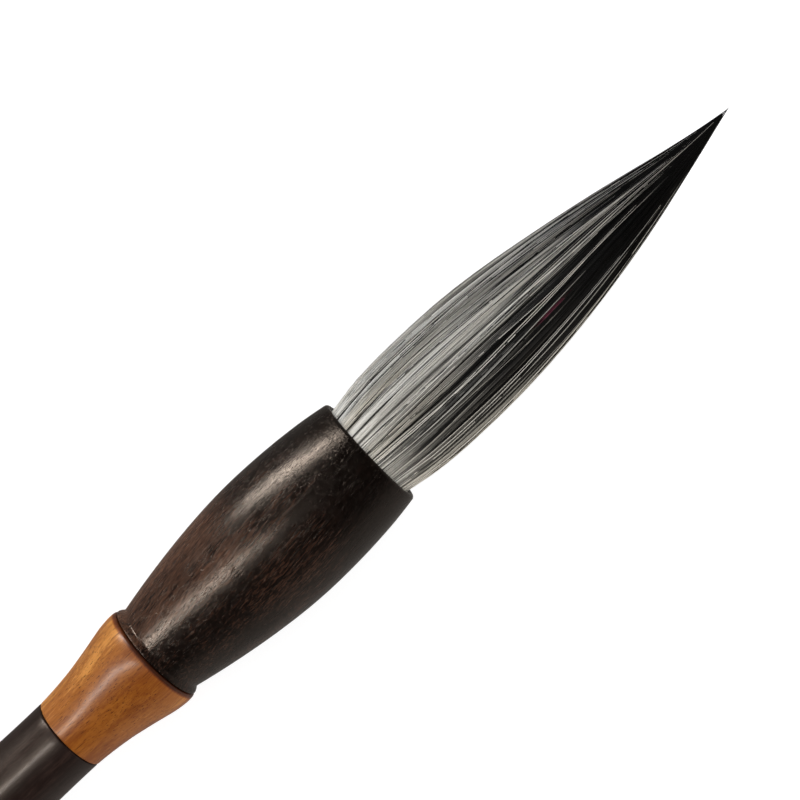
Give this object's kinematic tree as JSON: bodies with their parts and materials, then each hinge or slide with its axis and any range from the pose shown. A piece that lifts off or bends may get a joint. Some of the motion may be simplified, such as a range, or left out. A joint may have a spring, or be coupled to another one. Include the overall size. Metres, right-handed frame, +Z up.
{
  "type": "calligraphy brush",
  "caption": "Large calligraphy brush with a pointed grey-to-black hair tuft, barrel-shaped dark wood cup, flared orange wood collar and a slim dark wood handle.",
  "frame": {"origin": "middle of the brush's box at the height of the table that it lies on", "axes": "+Z up from the table; +X towards the tip of the hair; the brush's own axis is pitched 1.3 degrees up towards the tip, because it rests on the cup's belly and the tail cap"},
  "size_m": [0.2798, 0.0194, 0.0195],
  "materials": {
    "dark_wood": "satin wax",
    "handle_wood": "gloss lacquer",
    "orange_wood": "gloss lacquer",
    "dowel_wood": "bare",
    "white_hair": "combed hair",
    "grey_hair": "combed hair",
    "black_hair": "combed hair",
    "thread": "waxed cotton",
    "rosin": "glassy",
    "glue": "dried glue"
  },
  "bodies": {
    "root": {"hair_core": "black_hair", "hair_lining": "grey_hair", "hair_cover": "white_hair", "binding_thread": "thread", "rosin_seal": "rosin", "root_glue": "glue", "cup": "dark_wood", "collar": "orange_wood", "joint_dowel": "dowel_wood", "handle": "handle_wood", "tail_ring": "orange_wood", "tail_dowel": "dowel_wood", "tail_cap": "handle_wood"}
  },
  "joints": []
}
